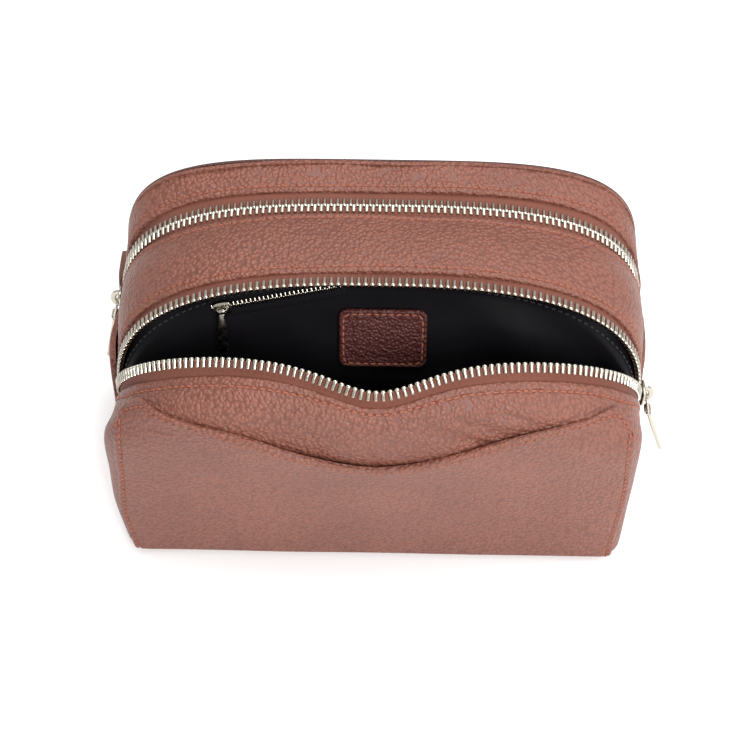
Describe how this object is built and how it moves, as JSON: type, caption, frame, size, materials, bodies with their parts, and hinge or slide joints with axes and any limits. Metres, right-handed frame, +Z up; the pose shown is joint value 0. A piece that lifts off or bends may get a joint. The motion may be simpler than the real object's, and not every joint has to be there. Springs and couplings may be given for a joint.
{
  "type": "shaving kit bag",
  "caption": "Arched leather toiletry bag with two zipped compartments, the front one open, with metal zips, a slip pocket, satin lining and an inner zip pocket.",
  "frame": {"origin": "centre of the base panel's width, on its underside, under the bag's closed depth", "axes": "+X to the bag's right, +Y to its back, +Z up; the open front compartment faces -Y"},
  "size_m": [0.2825, 0.1342, 0.16],
  "materials": {
    "bag_leather": "pebbled full-grain leather, satin",
    "leather_edge": "turned and painted leather edge",
    "patch_leather": "pebbled leather patch, stitched",
    "zip_tape": "woven polyester zip tape",
    "satin_lining": "black satin lining",
    "board": "stiffening board",
    "nickel": "polished nickel plate"
  },
  "bodies": {
    "bag": {"base_panel": "bag_leather", "base_stiffener": "board", "back_panel": "bag_leather", "back_binding": "leather_edge", "side_panel_left": "bag_leather", "side_panel_right": "bag_leather", "rear_band": "bag_leather", "middle_band": "bag_leather", "rear_zip_back_teeth": "nickel", "rear_zip_back_tape": "zip_tape", "rear_zip_front_teeth": "nickel", "rear_zip_front_tape": "zip_tape", "front_zip_back_teeth": "nickel", "front_zip_back_tape": "zip_tape", "front_panel": "bag_leather", "slip_pocket_lower": "bag_leather", "front_compartment_lining": "satin_lining", "rear_compartment_lining": "satin_lining", "divider_wall": "satin_lining", "leather_patch": "patch_leather", "pocket_zip_tape": "satin_lining", "pocket_zip_upper_teeth": "nickel", "pocket_zip_lower_teeth": "nickel", "inner_pocket_pouch": "satin_lining", "rear_zip_bottom_stop": "nickel", "front_zip_bottom_stop": "nickel"},
    "flap": {"front_flap": "bag_leather", "front_flap_lining": "satin_lining", "front_zip_front_teeth": "nickel", "front_zip_front_tape": "zip_tape", "slip_pocket_upper": "bag_leather"},
    "front_zip_slider": {"front_slider": "nickel"},
    "front_link": {"front_pull_link": "nickel"},
    "front_pull": {"front_pull_tab": "nickel"},
    "rear_zip_slider": {"rear_slider": "nickel"},
    "rear_link": {"rear_pull_link": "nickel"},
    "rear_pull": {"rear_pull_tab": "nickel"},
    "inner_slider": {"pocket_slider": "nickel"},
    "inner_pull": {"pocket_pull": "nickel"}
  },
  "joints": [
    {"name": "flap_fold", "type": "hinge", "parent": "bag", "child": "flap", "pos_m": [0, -0.018, 0.076], "axis": [1, 0, 0], "range_deg": [-22, 12]},
    {"name": "front_slider_run", "type": "slide", "parent": "bag", "child": "front_zip_slider", "axis": [-0.0698, 0, 0.9976], "range_m": [0, 0.009]},
    {"name": "front_link_swing", "type": "hinge", "parent": "front_zip_slider", "child": "front_link", "pos_m": [0.12764, -0.018, 0.077], "axis": [0, -1, 0], "range_deg": [0, 78]},
    {"name": "front_pull_swing", "type": "hinge", "parent": "front_link", "child": "front_pull", "pos_m": [0.1297, -0.018, 0.06732], "axis": [0, -1, 0], "range_deg": [0, 70]},
    {"name": "rear_slider_run", "type": "slide", "parent": "bag", "child": "rear_zip_slider", "axis": [0.0872, 0, 0.9962], "range_m": [0, 0.01]},
    {"name": "rear_link_swing", "type": "hinge", "parent": "rear_zip_slider", "child": "rear_link", "pos_m": [-0.13107, 0.033, 0.083], "axis": [0, 1, 0], "range_deg": [0, 73]},
    {"name": "rear_pull_swing", "type": "hinge", "parent": "rear_link", "child": "rear_pull", "pos_m": [-0.1338, 0.033, 0.07348], "axis": [0, 1, 0], "range_deg": [0, 76]},
    {"name": "inner_slider_run", "type": "slide", "parent": "bag", "child": "inner_slider", "axis": [0.9781, 0.0657, 0.1972], "range_m": [0, 0.045]},
    {"name": "inner_pull_swing", "type": "hinge", "parent": "inner_slider", "child": "inner_pull", "pos_m": [-0.07, -0.01883, 0.13306], "axis": [-0.9781, -0.0657, -0.1972], "range_deg": [0, 80]}
  ]
}
